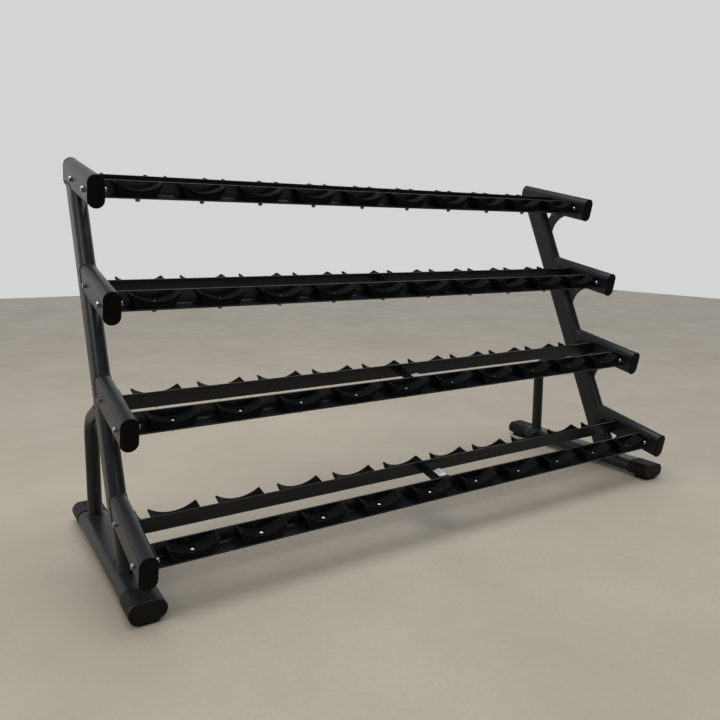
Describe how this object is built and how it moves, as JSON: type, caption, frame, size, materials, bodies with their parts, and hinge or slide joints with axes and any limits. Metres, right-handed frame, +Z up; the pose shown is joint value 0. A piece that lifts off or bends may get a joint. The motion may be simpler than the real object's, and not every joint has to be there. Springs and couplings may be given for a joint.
{
  "type": "dumbbell rack",
  "caption": "Tiered dumbbell rack: leaning oval-tube end frames, angle rails bolted between them and rows of cradle saddles for dumbbell heads.",
  "frame": {"origin": "on the floor, under the middle of the rack's overall length and depth", "axes": "+X along the rails to the right, +Y towards the back, +Z up"},
  "size_m": [2.707, 1.0362, 1.5442],
  "materials": {
    "powder_coated_steel": "satin charcoal powder coat",
    "rail_steel": "satin black powder coat",
    "cap_plastic": "matte black moulded plastic",
    "boot_rubber": "matte black moulded rubber",
    "saddle_plastic": "fine-textured black moulded plastic",
    "zinc_hardware": "bright zinc plate",
    "label_film": "blank white label with a red band"
  },
  "bodies": {
    "root": {"left_foot_tube": "powder_coated_steel", "left_upright": "powder_coated_steel", "left_rear_brace": "powder_coated_steel", "left_gussets": "powder_coated_steel", "left_arm_1": "powder_coated_steel", "left_arm_2": "powder_coated_steel", "left_arm_3": "powder_coated_steel", "left_arm_4": "powder_coated_steel", "left_arm_caps": "cap_plastic", "left_front_boot": "boot_rubber", "left_rear_boot": "boot_rubber", "left_arm_bolts": "zinc_hardware", "left_arm_washers": "zinc_hardware", "left_arm_nuts": "zinc_hardware", "right_foot_tube": "powder_coated_steel", "right_upright": "powder_coated_steel", "right_rear_brace": "powder_coated_steel", "right_gussets": "powder_coated_steel", "right_arm_1": "powder_coated_steel", "right_arm_2": "powder_coated_steel", "right_arm_3": "powder_coated_steel", "right_arm_4": "powder_coated_steel", "right_arm_caps": "cap_plastic", "right_front_boot": "boot_rubber", "right_rear_boot": "boot_rubber", "right_arm_bolts": "zinc_hardware", "right_arm_washers": "zinc_hardware", "right_arm_nuts": "zinc_hardware", "tier_1_front_rail": "rail_steel", "tier_1_front_saddles": "saddle_plastic", "tier_1_back_rail": "rail_steel", "tier_1_back_saddles": "saddle_plastic", "tier_1_saddle_bolts": "zinc_hardware", "tier_1_saddle_nuts": "zinc_hardware", "tier_1_tie_bracket": "rail_steel", "tier_2_front_rail": "rail_steel", "tier_2_front_saddles": "saddle_plastic", "tier_2_back_rail": "rail_steel", "tier_2_back_saddles": "saddle_plastic", "tier_2_saddle_bolts": "zinc_hardware", "tier_2_saddle_nuts": "zinc_hardware", "tier_2_tie_bracket": "rail_steel", "tier_3_front_rail": "rail_steel", "tier_3_front_saddles": "saddle_plastic", "tier_3_back_rail": "rail_steel", "tier_3_back_saddles": "saddle_plastic", "tier_3_saddle_bolts": "zinc_hardware", "tier_3_saddle_nuts": "zinc_hardware", "tier_3_tie_bracket": "rail_steel", "tier_4_front_rail": "rail_steel", "tier_4_front_saddles": "saddle_plastic", "tier_4_back_rail": "rail_steel", "tier_4_back_saddles": "saddle_plastic", "tier_4_saddle_bolts": "zinc_hardware", "tier_4_saddle_nuts": "zinc_hardware", "tier_4_tie_bracket": "rail_steel", "tier_labels": "label_film"}
  },
  "joints": []
}
